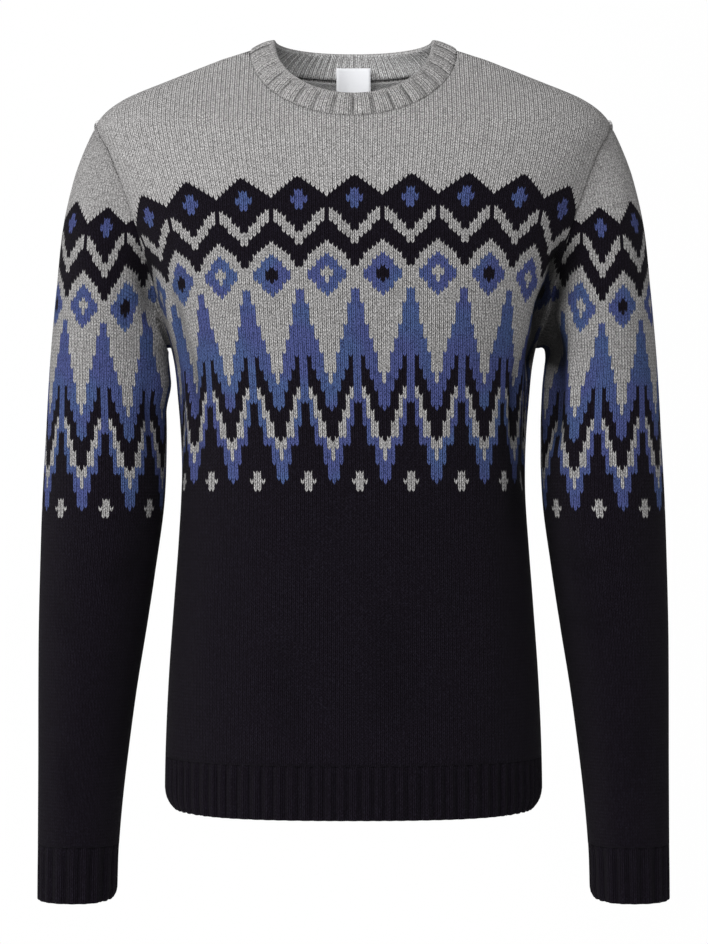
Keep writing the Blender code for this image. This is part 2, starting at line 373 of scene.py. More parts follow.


# %% [markdown]
# ## Creases
#
# Thick wool on a body creases only where the arms meet it. Soft folds run down from each armpit,
# and the cloth pulls towards the seam. A cloth simulation could make folds, but not at chosen
# places, so each crease is put in as a soft trough or ridge along a bent line. They differ
# in length, depth and spacing, and the back gets its own set, because cloth behind the arm creases
# in the same way.

# %% Creases of the body and sleeves
# each row, in mm: where it starts and ends (x and z), its bow, its width and its depth
FRONT_CREASES = [
    # from the left armhole's seam down into the armpit
    (190, -165, 165, -262, 10, 6, -5.5),
    (176, -182, 160, -275, 7, 5, 2),
    (168, -205, 155.5, -300, 4, 5, -5.5),
    # down the left side of the body
    (153, -268, 148, -405, -2, 4.2, -2.4),
    (145.5, -262, 142, -385, -1, 3.6, 1.4),
    (139, -272, 138.5, -366, 1, 3.2, -2.6),
    (131, -300, 130, -372, 1, 3, -1.8),
    (144, -250, 140, -450, -1, 8.5, -3.8),
    # from the right armhole down, curving towards the belly
    (-166, -196, -137, -330, -7, 4.6, -3.2),
    (-172, -188, -150, -300, -6, 4, 2.2),
    (-156, -236, -147, -392, -2, 3.8, -2.6),
    (-148, -232, -140, -404, -3, 4, 1.4),
    (-141, -250, -135, -388, -3, 3.4, -1.6),
    # soft swells lower down
    (-118, -420, -128, -585, 4, 16, 1.6),
    (110, -400, 124, -590, -4, 17, 1.8),
    (30, -470, 45, -600, 3, 20, -1.2),
    (-60, -500, -50, -612, 2, 18, -1),
]
BACK_CREASES = [
    (188, -150, 160, -270, 12, 6, -3.4),
    (172, -176, 152, -310, 6, 5, 2.2),
    (160, -215, 146, -345, 3, 4.5, -3),
    (146, -262, 140, -400, -2, 4.2, -2),
    (132, -290, 131, -372, 1, 3.4, 1.4),
    (-184, -158, -158, -282, -11, 5.8, -3.6),
    (-168, -190, -148, -325, -6, 4.8, 2),
    (-155, -228, -143, -380, -3, 4, -2.6),
    (-138, -280, -134, -365, -1, 3.4, 1.5),
    (60, -385, 118, -425, 6, 12, -2.4),
    (-50, -402, -112, -436, -6, 11, -2.2),
    (20, -440, 85, -470, 4, 13, 1.8),
    (50, -500, 58, -606, 3, 19, 1.4),
    (-75, -480, -86, -600, -4, 18, 1.6),
]
SLEEVE_FRONT_CREASES = {
    1: [
        (184, -190, 172, -280, 6, 6, -6),
        (176, -235, 170, -365, -3, 7, -6),
        (186, -255, 181, -330, -3, 4.6, 1.2),
        (178, -430, 215, -462, 4, 9, -1.6),
        (182, -486, 226, -508, 4, 10, -1.4),
        (258, -560, 246, -655, 4, 9, -1.2),
    ],
    -1: [
        (173, -225, 168, -320, 0, 13, 6),
        (190, -196, 179, -250, 5, 4.2, -2.6),
        (183, -214, 171, -272, 4, 4, 1.6),
        (177, -268, 172, -362, -3, 4.6, -2.2),
        (176, -440, 218, -470, 4, 10, -1.5),
        (260, -470, 232, -520, -4, 10, -1.2),
        (255, -600, 240, -672, 3, 9, -1.2),
    ],
}
SLEEVE_BACK_CREASES = {
    1: [
        (186, -180, 172, -268, 6, 5.2, -3),
        (196, -205, 180, -300, 6, 4.8, 1.8),
        (176, -395, 238, -432, 8, 8.5, -3.2),
        (178, -424, 246, -452, 7, 8, 2),
        (182, -452, 236, -478, 6, 8.5, -2.6),
        (205, -560, 252, -584, 4, 9, -1.6),
    ],
    -1: [
        (173, -225, 168, -320, 0, 13, 6),
        (188, -188, 174, -276, 6, 5, -2.8),
        (198, -220, 184, -290, 5, 4.6, 1.6),
        (178, -404, 232, -440, 7, 8.5, -2.8),
        (182, -436, 250, -466, 7, 8.5, 1.8),
        (186, -470, 240, -490, 6, 8, -2.2),
        (210, -590, 256, -610, 4, 9, -1.4),
    ],
}
CREASE_FADE = 0.30  # of a crease's length, over which each end dies away


def crease_relief(creases, points):
    """How far the creases push points in or out, from where they are as seen from the front."""
    seen = points[..., [0, 2]]
    total = np.zeros(points.shape[:-1])
    for crease in np.array(creases) / 1000:
        start, end = crease[:2], crease[2:4]
        bow, width, depth = crease[4:]
        length = np.linalg.norm(end - start)
        run = (end - start) / length
        t = (seen - start) @ run / length
        off = (seen - start) @ np.array([run[1], -run[0]])
        off = off - bow * 4 * np.clip(t * (1 - t), 0, 1)
        ends = ease(t / CREASE_FADE) * ease((1 - t) / CREASE_FADE)
        total += depth * ends * np.exp(-((off / width) ** 2))
    return total


# the line of the armhole's seam where the arm presses on the body, as seen from the front
ARMPIT_LINE = np.array([(0.1880, -0.172), (0.1755, -0.2080), (0.1690, -0.2310), (0.1620, -0.2700)])
ARMPIT_DEPTH = 0.012
ARMPIT_WIDTH = 0.0105
ARMPIT_START = 0.012  # how far above its line the hollow starts
ARMPIT_FADE = 0.040  # over how much height it reaches its full depth
SEAM_LINE_FLAT = 0.025  # how near the middle of the depth nothing is pressed in
# how much shade is painted into each armpit, 1 on the wearer's left and -1 on the right
ARMPIT_PAINTED_SHADE = {1: 0.78, -1: 0.42}


def armpit_share(points):
    """1 along the bottom of the dip between body and arm, and 0 away from it; it presses in and paints
    shade.
    """
    seen = on_one_side(points)[..., [0, 2]]
    nearest = np.full(seen.shape[:-1], 1.0)
    for start, end in zip(ARMPIT_LINE[:-1], ARMPIT_LINE[1:]):
        t = np.clip((seen - start) @ (end - start) / ((end - start) @ (end - start)), 0, 1)
        gap = np.linalg.norm(seen - start - t[..., None] * (end - start), axis=-1)
        nearest = np.minimum(nearest, gap)
    deep = ease((ARMPIT_LINE[0, 1] + ARMPIT_START - seen[..., 1]) / ARMPIT_FADE)
    return np.exp(-((nearest / ARMPIT_WIDTH) ** 2)) * deep


# where shade is painted on the sleeve's arch over the gap beside the body, as seen from the front
ARCH_PLACE = np.array([0.1710, -0.2640])
ARCH_SIZE = 0.018
# how much shade is painted at each arch, 1 on the wearer's left and -1 on the right
ARCH_PAINTED_SHADE = {1: 0.40, -1: 0.55}


def arch_share(points):
    """Painted shade: 1 at the sleeve's arch over the gap beside the body, and 0 away from it."""
    seen = on_one_side(points)[..., [0, 2]]
    return np.exp(-((np.linalg.norm(seen - ARCH_PLACE, axis=-1) / ARCH_SIZE) ** 2))


def sink_armpits(points):
    """Points pressed in beside the arms. Body and sleeve use it alike, so they still meet."""
    into = np.sign(points[..., 1]) * ease(abs(points[..., 1]) / SEAM_LINE_FLAT)
    sunk = points.copy()
    sunk[..., 1] -= into * ARMPIT_DEPTH * armpit_share(points)
    return sunk


on_sleeves = [*SLEEVE_FRONT_CREASES.values(), *SLEEVE_BACK_CREASES.values()]
print("creases placed:", sum(map(len, [FRONT_CREASES, BACK_CREASES, *on_sleeves])))

# %% [markdown]
# ## Rolled seams
#
# Knitted pieces are linked edge to edge. The edges turn in, so the cloth on both sides of the seam
# stands up in a soft roll with a line between the rolls. The relief below is nothing at the seam
# itself, so that the two pieces still meet there, rises to the roll a few millimetres away, and
# dies out again.

# %% Relief beside a seam
ROLL_PLACE = 0.0042
ROLL_HEIGHT = 0.0013


def roll(distance):
    share = np.maximum(distance, 0) / ROLL_PLACE
    return ROLL_HEIGHT * share * np.exp(1 - share)


def fade_from(distance, reach):
    """0 at a seam and 1 from this far away, which keeps creases off the seam itself."""
    return ease(distance / reach)


ARMHOLE_ROLL = {1: 1.0, -1: 0.5}  # how full each armhole's roll is
ROLL_START = 0.004  # how far under the point of the shoulder its roll starts
ROLL_FADE = 0.03  # over how much height a roll grows to its full size


def below_shoulder(points):
    """0 at the point of the shoulder, where the armhole's seam lies flat, and 1 lower down."""
    return ease((SHOULDER_POINT - ROLL_START - points[..., 2]) / ROLL_FADE)


print("a seam's roll is", ROLL_HEIGHT * 1000, "mm high,", ROLL_PLACE * 1000, "mm from it")

# %% [markdown]
# ## Counting stitches and rows
#
# A stitch is about 3.6 mm wide and 3 mm high, and both stretch a little over the chest and relax at
# the waist. The panels are counted from the centre front, where the pattern is symmetric. A worn
# jumper never hangs quite level, so the rows tilt slightly, and near the armholes the pattern
# droops towards the seam. These small drifts are what keep a knitted pattern from looking printed.

# %% Stitch counts of the panels
# height and the mean stitch's width at the centre, then its change towards the sides
PITCH_HEIGHTS = np.array([-0.62, -0.38, -0.30, -0.205, -0.14, -0.10, -0.07])
PITCH_CENTRE = np.array([3.48, 3.32, 3.44, 3.61, 3.60, 3.85, 4.00]) / 1000
PITCH_WIDE = np.array([0.10, 0.30, 0.12, 0.00, 0.09, 0.05, 0.00]) / 1000
PITCH_TIGHT = np.array([0.00, 0.00, -0.20, -0.35, 0.00, 0.00, 0.00]) / 1000
PITCH_SPAN = 0.19

LEAN_HEIGHTS = np.array([-0.50, -0.38, -0.205, -0.14])
LEAN = np.array([0.0055, 0.0055, 0.0012, 0.0008])

# heights of rows at the centre front, where row 0 is the last grey row above the pattern
ROW_HEIGHTS = np.array(
    [-0.620, -0.3836, -0.2930, -0.2563, -0.2198, -0.1760, -0.1346, -0.1206]
    + [-0.0933, -0.062, -0.044, -0.0264, -0.0150, -0.0070, 0.0]
)
ROWS = np.array([160, 84, 56, 43, 31, 15, 0, -5, -16, -29, -38, -47, -52.5, -57, -61.0])

TILT_HEIGHTS = np.array([-0.39, -0.30, -0.205, -0.14])
TILT = np.array([0.0, 0.008, 0.015, 0.025])
DROOP = 0.018
DROOP_POWER = 9
# the height at which the droop has died out, 1 on the wearer's left and -1 on the right
DROOP_END = {1: -0.33, -1: -0.39}
DROOP_FADE = 0.09
ARC_STEPS = 48


def row_at(height):
    return np.interp(height, ROW_HEIGHTS, ROWS)


def arc_from_centre(points, back):
    """The length of the body's ring from the centre line of the panel to each point."""
    turn = turn_of(points)
    turn = np.where(turn >= 0, pi, -pi) - turn if back else turn
    share = np.linspace(0, 1, ARC_STEPS + 1)
    total = np.zeros(turn.shape)
    last = None
    for part in share:
        walked = pi - turn * part if back else turn * part
        here = body_point(walked, points[..., 2])
        if last is not None:
            total += np.linalg.norm(here - last, axis=-1)
        last = here
    return total * np.sign(turn)


def armhole_edge(height):
    """How far out a panel reaches at a height."""
    falls = np.linspace(pi, 0, 60)
    seam = armhole_point(falls, False)
    return np.where(
        height < UNDERARM,
        body_size(HALF_WIDTH, height),
        np.interp(height, seam[:, 2], seam[:, 0]),
    )


def panel_stitches(points, back):
    """The stitch across and the row down at points of a panel, for its UV map."""
    x, _, z = np.moveaxis(points, -1, 0)
    s = arc_from_centre(points, back)
    q = np.clip(abs(s) / PITCH_SPAN, 0, 1.2)
    pitch = np.interp(z, PITCH_HEIGHTS, PITCH_CENTRE)
    pitch = pitch + np.interp(z, PITCH_HEIGHTS, PITCH_WIDE) * q**2
    pitch = pitch + np.interp(z, PITCH_HEIGHTS, PITCH_TIGHT) * q**4
    lean = 0 if back else np.interp(z, LEAN_HEIGHTS, LEAN)
    droop = DROOP * np.clip(abs(x) / armhole_edge(z), 0, 1) ** DROOP_POWER
    droop = droop * ease((z - np.where(x > 0, DROOP_END[1], DROOP_END[-1])) / DROOP_FADE)
    level = z - np.interp(z, TILT_HEIGHTS, TILT) * x + droop
    return np.stack([(s - lean) / pitch, row_at(level)], axis=-1)


# %% [markdown]
# ## Shader maths
#
# The finishes are node materials. Written as links between nodes, a formula for a knitted stitch
# would be unreadable, so one small class wraps a socket and lets Python's own operators add the
# Math nodes. Any other node comes from its node method, which sets the node's own settings before
# the values of its sockets.

# %% A wrapped socket
class Signal:
    """An output socket whose sums and products add Math nodes to its material."""

    def __init__(self, tree, socket=None):
        self.tree = tree
        self.socket = socket

    def node(self, kind, settings, values, output=0):
        made = self.tree.nodes.new(kind)
        for name, value in settings.items():
            if name == "stops":
                set_stops(made.color_ramp, value)
            else:
                setattr(made, name, value)
        for name, value in values.items():
            if isinstance(value, Signal):
                self.tree.links.new(value.socket, made.inputs[name])
            else:
                made.inputs[name].default_value = value
        return Signal(self.tree, made.outputs[output])

    def maths(self, operation, *values):
        return self.node("ShaderNodeMath", {"operation": operation}, dict(enumerate(values)))

    def mix(self, factor, first, second):
        """A colour between two colours."""
        values = {0: factor, 6: first, 7: second}
        return self.node("ShaderNodeMix", {"data_type": "RGBA"}, values, 2)

    def part(self, axis):
        """One part of a vector: 0, 1 or 2."""
        return self.node("ShaderNodeSeparateXYZ", {}, {0: self}, axis)

    def noise(self, place, scale, detail, roughness=0.5):
        values = {"Vector": place, "Scale": scale, "Detail": detail, "Roughness": roughness}
        return self.node("ShaderNodeTexNoise", {}, values)

    def clamped(self):
        return self.maths("MINIMUM", self.maths("MAXIMUM", self, 0.0), 1.0)

    def feed(self, shader, name):
        self.tree.links.new(self.socket, shader.inputs[name])

    def __add__(self, other):
        return self.maths("ADD", self, other)

    def __sub__(self, other):
        return self.maths("SUBTRACT", self, other)

    def __mul__(self, other):
        return self.maths("MULTIPLY", self, other)

    def __truediv__(self, other):
        return self.maths("DIVIDE", self, other)

    def __pow__(self, other):
        return self.maths("POWER", self, other)

    def __mod__(self, other):
        return self.maths("FLOORED_MODULO", self, other)

    def __abs__(self):
        return self.maths("ABSOLUTE", self)

    def __rsub__(self, other):
        return self.maths("SUBTRACT", other, self)

    __radd__ = __add__
    __rmul__ = __mul__


def set_stops(ramp, stops):
    """Replaces a colour ramp's stops with hard steps of colour."""
    ramp.interpolation = "CONSTANT"
    while len(ramp.elements) > 1:
        ramp.elements.remove(ramp.elements[-1])
    for place, colour in stops:
        element = ramp.elements[0] if place == 0 else ramp.elements.new(place)
        element.position = place
        element.color = colour


def object_place(paint):
    """Where each point is on the object."""
    return paint.node("ShaderNodeTexCoord", {}, {}, 3)


def stitches_map(paint):
    """Which stitch and row each point is in."""
    return paint.node("ShaderNodeUVMap", {"uv_map": "stitches"}, {})


def set_sockets(shader, values):
    for name, value in values.items():
        shader.inputs[name].default_value = value


def new_material(name):
    """A material, its principled shader, and a blank signal that adds nodes to it."""
    material = bpy.data.materials.new(name)
    material.use_nodes = True
    tree = material.node_tree
    return material, tree.nodes["Principled BSDF"], Signal(tree)


print("shader maths ready")

# %% [markdown]
# ## The knitting chart
#
# Fair isle is knitted from a chart that repeats every 13 stitches and is the same read either way,
# so seven columns say it all: column 0 is the centre of one axis, and column 6 stands beside the
# next. Each entry is a yarn and the last row that it reaches: G grey, K black, B blue, N navy, and C
# the accent at the heart of a diamond, which is dark in one repeat and light in the next. D is the
# rim of a dark heart, which stays blue round a light one. The pattern stays a chart, and not a
# painted map, because a chart stays sharp at any distance.

# %% Chart and its ramps
CHART = [
    "G0 K14 G18 B22 C27 B31 G56 B63 K71 G76 B82 N",
    "G-1 K4 G8 K15 G19 B23 C25 D26 B30 G53 B62 K70 G73 B81 N",
    "G-2 K5 G9 K16 G20 B29 G47 B58 K66 G70 B77 N",
    "G-3 K6 G11 K17 G22 B27 G43 B55 K63 G70 B72 N",
    "G-4 K8 G12 K18 G23 B26 G39 B52 K59 G65 B72 N",
    "G-5 K0 B2 K9 G13 K20 G33 B48 K57 G60 B67 N81 G82 N",
    "G-6 K-2 B4 K11 G15 K22 G29 B61 N79 G84 N",
]
REPEAT = 13
FIRST_ROW = -10
CHART_ROWS = 128
# what each yarn is in a ramp: red for grey, green for blue, blue for the accent, nothing for dark
YARN_MASKS = {
    "G": (1, 0, 0, 1),
    "B": (0, 1, 0, 1),
    "C": (0, 0, 1, 1),
    "D": (0, 0, 0.5, 1),
    "K": (0, 0, 0, 1),
    "N": (0, 0, 0, 1),
}


def chart_stops(column):
    """One chart column as a ramp's stops."""
    stops, start = [], 0.0
    for entry in column.split():
        stops.append((start, YARN_MASKS[entry[0]]))
        if len(entry) > 1:
            start = (int(entry[1:]) + 1 - FIRST_ROW) / CHART_ROWS
    return stops


print("chart:", len(CHART), "columns,", sum(len(c.split()) for c in CHART), "bands of yarn")

# %% [markdown]
# ## One stitch
#
# A knitted stitch is a V: two legs of yarn that lean out from the middle. Where the yarn changes
# colour, the edge of the colour follows the V, so a straight line of stitches has a toothed edge.
# The signals below find, at any point, which stitch it belongs to and how far it is across each
# leg, which gives the relief: legs stand up round, with a narrow groove between columns.

# %% Stitch signals
LEAN_OF_LEG = 0.9  # rows that a leg rises from the middle of its stitch to its side
# how far stitches stray from a perfect grid, in stitches and in rows
WOBBLE_ACROSS = 0.16
WOBBLE_DOWN = 0.20
Stitch = namedtuple("Stitch", "column row bend leg body seed")


def stitch_signals(paint):
    """Where each point is within its stitch, from the stitches map."""
    uv = stitches_map(paint)
    wobble = paint.noise(uv, 0.9, 2.0, 0.6) - 0.5
    across = uv.part(0) + wobble * WOBBLE_ACROSS
    column = across.maths("FLOOR", across)
    bend = abs((across - column) * 2 - 1)
    shifted = uv.part(1) + bend * LEAN_OF_LEG - LEAN_OF_LEG / 2 + wobble * WOBBLE_DOWN
    row = shifted.maths("FLOOR", shifted)
    share = shifted - row
    leg = 1 - abs(bend * 2 - 1)
    body = share * (1 - share) * 4
    ids = paint.node("ShaderNodeCombineXYZ", {}, {0: column, 1: row})
    seed = paint.node("ShaderNodeTexWhiteNoise", {"noise_dimensions": "3D"}, {"Vector": ids})
    return Stitch(column, row, bend, leg, body, seed)


print("each V leg rises", LEAN_OF_LEG, "rows")

# %% [markdown]
# ## Wool
#
# The grey yarn is a marl, spun from light and dark fibres, so it varies along its length and from
# stitch to stitch. The blue is heathered, and drifts between indigo and a greener blue. The dark
# yarn is a navy close to black. All three are woollen, so they are rough, with a faint sheen from
# the fibres that stand off the surface.

# %% Yarn colours and the knitted finishes
GREY_LIGHT = (0.665, 0.652, 0.648, 1)
GREY_DARK = (0.240, 0.234, 0.232, 1)
BLUE_COOL = (0.087, 0.140, 0.324, 1)
BLUE_WARM = (0.093, 0.113, 0.310, 1)
BLUE_DARK = (0.032, 0.043, 0.113, 1)
DARK_YARN = (0.0070, 0.0050, 0.0085, 1)
DARK_FLECK = (0.0142, 0.0118, 0.0190, 1)
SHADE_BLACK = (0.0, 0.0, 0.0, 1)
# the blue's cooler patches: how many to the metre, where they start and how fast they come
HEATHER_SCALE = 22.0
HEATHER_START = 0.42
HEATHER_GAIN = 5
WOOL_SOCKETS = {
    "Roughness": 0.92,
    "Sheen Weight": 0.015,
    "Sheen Roughness": 0.5,
    "Specular IOR Level": 0.04,
}
# painted shade: how much the colour darkens between columns, beside a leg, at a row's end and in a V's
# crotch
COLUMN_SHADE = 0.70
LEG_SHADE = 0.45
END_SHADE = 0.34
CROTCH_SHADE = 0.55
# painted shade in the grooves between the wrong side's purl rows
GROOVE_SHADE = 0.55  # how much light the grooves of the wrong side keep
STITCH_RELIEF = 0.0011
FIBRE_RELIEF = 0.25  # how high fibres stand, as a share of a stitch
# painted shade in folds, grooves and armpits, read from the mesh's record
HOLLOW_SHADE = 0.92  # how much light the deepest fold loses
FOLD_SHADE = 0.72  # the even shade that takes over from the stitches' own in a fold
CARRIED_SHADE = 0.42  # how much the yarn carried behind the grey darkens its gaps
CARRIED_TINT = 0.03  # and the grey itself
# painted light: the wrong side and the lining get lighter grey, standing in for light bounced inside
# the garment
WRONG_SIDE_PAINTED_LIGHT = 2.60
LINING_PAINTED_LIGHT = 1.80


# how much a marl varies along its length, from stitch to stitch, and from fibre to fibre
BY_LENGTH = 1.1
BY_STITCH = 0.15
BY_FIBRE = 3.4
MARL_STRETCH = (2.3, 1.2, 1)
FIBRE_SCALE = 760.0


def marl(paint, stitch):
    """A number from 0 to 1 that varies as marled yarn does, and its fibres alone."""
    values = {"Vector": stitches_map(paint), "Scale": MARL_STRETCH}
    drift = paint.noise(paint.node("ShaderNodeMapping", {}, values), 1.0, 3.0, 0.7)
    fibre = paint.noise(object_place(paint), FIBRE_SCALE, 2.0, 0.7)
    mixed = (drift - 0.5) * BY_LENGTH + (stitch.seed - 0.5) * BY_STITCH
    return (mixed + (fibre - 0.5) * BY_FIBRE + 0.5).clamped(), fibre


def chart_masks(paint, stitch):
    """The chart's mask colour at each stitch."""
    inside = stitch.column % REPEAT
    distance = abs(inside - (REPEAT // 2))
    place = (stitch.row + (0.5 - FIRST_ROW)) / CHART_ROWS
    masks = None
    for number, column in enumerate(CHART):
        knit = paint.node("ShaderNodeValToRGB", {"stops": chart_stops(column)}, {"Fac": place})
        if masks is None:
            masks = knit
        else:
            here = distance.maths("COMPARE", distance, float(number), 0.5)
            masks = paint.mix(here, masks, knit)
    return masks


def dimmed(signal, share):
    """1 where the signal is 1, and less by this share where it is 0."""
    return signal * share + (1 - share)


def lighter(colour, share):
    return tuple(min(part * share, 1.0) for part in colour)


def knitted(name, chart=True, yarn="grey", face=True, light=1.0):
    """A knitted finish. Its face has V stitches, and its wrong side has rows of purl bumps."""
    material, shader, paint = new_material(name)
    stitch = stitch_signals(paint)
    mottle, fibre = marl(paint, stitch)
    # light above 1 is painted light: a lighter grey for the inside of the garment
    grey = paint.mix(mottle, lighter(GREY_DARK, light), lighter(GREY_LIGHT, light))
    dark = paint.mix(mottle ** 2, DARK_YARN, DARK_FLECK)
    if chart:
        drift = paint.noise(object_place(paint), HEATHER_SCALE, 1.0)
        drift = drift.maths("SMOOTH_MAX", (drift - HEATHER_START) * HEATHER_GAIN, 0.0, 0.1)
        blue = paint.mix(drift.maths("MINIMUM", drift, 1.0), BLUE_WARM, BLUE_COOL)
        blue = paint.mix((1 - mottle) ** 2, blue, BLUE_DARK)
        masks = chart_masks(paint, stitch)
        is_grey, is_blue, is_heart = (
            paint.node("ShaderNodeSeparateColor", {}, {0: masks}, part) for part in range(3)
        )
        block = stitch.column / REPEAT
        light_block = block.maths("FLOOR", block) % 2
        is_rim = is_heart.maths("COMPARE", is_heart, 0.5, 0.3)
        is_grey = is_grey + (is_heart - is_rim * 0.5) * light_block
        is_blue = is_blue + is_rim * light_block
        colour = paint.mix(is_blue, paint.mix(is_grey, dark, grey), blue)
    else:
        colour = grey if yarn == "grey" else dark
    if face:
        height = stitch.leg**0.5 * (stitch.body * 0.5 + 0.5)
        between = paint.maths("MINIMUM", (1 - stitch.bend) * 3.2, 1.0)
        legs = paint.maths("MINIMUM", stitch.leg * 2.0, 1.0)
        ends = paint.maths("MINIMUM", stitch.body * 1.6, 1.0)
        crotch = (1 - ends) * (1 - stitch.bend)
        # shade painted into the colour in the gaps between stitches, on top of the bump
        shade = dimmed(between, COLUMN_SHADE) * dimmed(legs, LEG_SHADE) * dimmed(ends, END_SHADE)
        shade = shade * (1 - crotch * CROTCH_SHADE)
        if chart:
            carried = is_grey * stitch.row.maths("GREATER_THAN", stitch.row, 0.5)
            gaps = 1 - between * legs * ends
            shade = shade * (1 - carried * (gaps * CARRIED_SHADE + CARRIED_TINT))
    else:
        height = stitch.body**0.5
        # shade painted into the grooves between the purl rows
        shade = height * (1 - GROOVE_SHADE) + GROOVE_SHADE
    # painted shade: in folds the stitches' own shade evens out and the colour darkens towards black
    deep = paint.node("ShaderNodeAttribute", {"attribute_name": "painted_shade"}, {}, 2)
    shade = shade + (FOLD_SHADE - shade) * deep
    colour = paint.mix(shade * (1 - deep * HOLLOW_SHADE), SHADE_BLACK, colour)
    colour.feed(shader, "Base Color")
    values = {"Height": height + fibre * FIBRE_RELIEF, "Distance": STITCH_RELIEF, "Strength": 0.8}
    paint.node("ShaderNodeBump", {}, values).feed(shader, "Normal")
    set_sockets(shader, WOOL_SOCKETS)
    print(name, "has", len(paint.tree.nodes), "nodes")
    return material


pattern_face = knitted("fair_isle_wool")
# the inner faces get the same pattern with painted light in a lighter grey
pattern_back = knitted("fair_isle_wrong_side_painted_light", face=False, light=WRONG_SIDE_PAINTED_LIGHT)
grey_rib = knitted("grey_marl_rib", chart=False)
# the lining gets the same grey with painted light
grey_lining = knitted("grey_marl_lining_painted_light", chart=False, light=LINING_PAINTED_LIGHT)
navy_rib = knitted("night_navy_rib", chart=False, yarn="navy")

# %% [markdown]
# ## Front and back
#
# Each panel is one knitted sheet from side seam to side seam and from the hem's seam to the neck
# and shoulders. It is laid as one grid, so the wall has no joins, and its edges are exactly the
# seam lines that the sleeves, neckband and hem share.

# %% Lay the panels
PANEL_COLUMNS = 168
PANEL_ROWS = 172
JERSEY_WALL = 0.0026
CREASE_REACH = 0.012
# painted shade: a crease's colour is darkened by its depth, fully at this depth
CREASE_SHADE_DEPTH = 0.0080  # the depth at which a fold would hold back all its light
TOP_ROLL = 0.6  # how full the roll at the neck is, where it ends, and how it dies away
TOP_ROLL_END = 0.068
TOP_ROLL_FADE = 0.018
TOP_ROLL_LOSS = 0.85
ROLL_SWELL = 0.65  # how uneven a linked seam's roll is
SWELL_WAVES = (820, 290, 1340)  # how fast its swells come, in radians to the metre
# beside the high point of each shoulder the neck's seam runs straight up the grid
HIGH_POINT = np.array([0.091, 0.0, 0.0])
EVEN_REACH = 0.045
EVEN_ROUNDS = 15


def uneven(run):
    """How a linked seam's roll swells and shrinks along its length, in metres."""
    first, slow, fine = (np.sin(run * wave + shift) for shift, wave in enumerate(SWELL_WAVES))
    swell = first * slow + 0.6 * fine
    return 1 + ROLL_SWELL * swell


def even_out(points):
    """Evens out the cells round the high points of the shoulders, so that none folds over."""
    away = np.linalg.norm(on_one_side(points) - HIGH_POINT, axis=-1)
    share = 1 - ease(away / EVEN_REACH)
    evened = points.copy()
    for _ in range(EVEN_ROUNDS):
        mean = (evened[2:, 1:-1] + evened[:-2, 1:-1] + evened[1:-1, 2:] + evened[1:-1, :-2]) / 4
        evened[1:-1, 1:-1] += (mean - evened[1:-1, 1:-1]) * share[1:-1, 1:-1, None]
    half = on_one_side(evened)
    laid = body_point(turn_of(half), half[..., 2])
    laid[..., 0] *= np.where(points[..., 0] < 0, -1, 1)
    laid[-1] = points[-1]
    return np.where((share > 0)[..., None], laid, points)


def panel(name, back, creases):
    u, v = grid(PANEL_COLUMNS, PANEL_ROWS)
    across = 1 - 2 * u if back else 2 * u - 1
    points = even_out(panel_point(across, v, back))
    stitches = panel_stitches(points, back)
    normal = outward(points)
    run = length_across(points)
    rise = length_up(points)
    to_side = np.minimum(run, run[:, -1:] - run)
    to_end = np.minimum(rise, rise[-1:] - rise)
    relief = crease_relief(creases, points) * fade_from(to_side, CREASE_REACH)
    relief = relief * fade_from(to_end, CREASE_REACH)
    # painted shade: darker in the armpits, and in the creases by their depth
    dark = np.where(points[..., 0] > 0, ARMPIT_PAINTED_SHADE[1], ARMPIT_PAINTED_SHADE[-1]) * armpit_share(points)
    painted_shade = np.clip(-relief / CREASE_SHADE_DEPTH + dark, 0, 1)
    by_armhole = ease((points[..., 2] - UNDERARM) / ROLL_FADE) * below_shoulder(points)
    by_armhole = by_armhole * np.where(points[..., 0] > 0, ARMHOLE_ROLL[1], ARMHOLE_ROLL[-1])
    by_top = TOP_ROLL * ease((rise / rise[-1:] - 0.5) / 0.1)
    beside_neck = ease((abs(points[..., 0]) - TOP_ROLL_END) / TOP_ROLL_FADE)
    by_top = by_top * (1 - TOP_ROLL_LOSS * beside_neck)
    relief = relief + roll(to_side) * fade_from(to_end, ROLL_START) * by_armhole
    relief = relief + uneven(run) * roll(to_end) * fade_from(to_side, ROLL_START) * by_top
    points = sink_armpits(points) + normal * relief[..., None]
    piece = add_piece(name, skin(points, stitches, painted_shade), [pattern_face, pattern_back])
    wall(piece, JERSEY_WALL)
    area = (np.linalg.norm(np.diff(points, axis=1), axis=-1)[1:] * np.diff(rise, axis=0)[:, 1:]).sum()
    print(name, "is about", round(float(area), 3), "square metres, and",
          round(float(np.ptp(stitches[0, :, 0]))), "stitches wide at the hem")
    return piece


front = panel("jumper_front", False, FRONT_CREASES)
back = panel("jumper_back", True, BACK_CREASES)

# %% [markdown]
# ## Sleeves
#
# A sleeve is knitted flat, shaped, and sewn into a tube with its seam at the underarm. Here it is
# one grid rolled into a tube, with the first and last columns merged. The chart runs eight times
# round it with an axis down its front. The rows are higher on the outside, where the cloth falls
# from the shoulder, and lift into the armpit at the seam.

# %% Lay the sleeves
SLEEVE_COLUMNS = 112
SLEEVE_ROWS = 190
FRONT_TO_BACK = 0.02  # over how much depth the front's creases give way to the back's
SLEEVE_STITCHES = 8 * REPEAT
SLEEVE_ROW_HEIGHTS = np.array(
    [-0.700, -0.401, -0.381, -0.353, -0.323, -0.263, -0.202, -0.172, -0.141, -0.060]
)
SLEEVE_ROW_COUNTS = np.array([182, 82.0, 75.7, 66.8, 57.3, 37.2, 15.4, 5.2, -6.2, -33])
SLEEVE_TILT_HEIGHTS = np.array([-0.40, -0.30, -0.225, -0.16, -0.10])
SLEEVE_TILT = np.array([0.0, 0.06, 0.12, 0.26, 0.30])
ARMPIT_LIFT = 0.020
ARMPIT_REACH = 0.028
LIFT_TOP = -0.13  # the rows lift only below this height
LIFT_FADE = 0.06
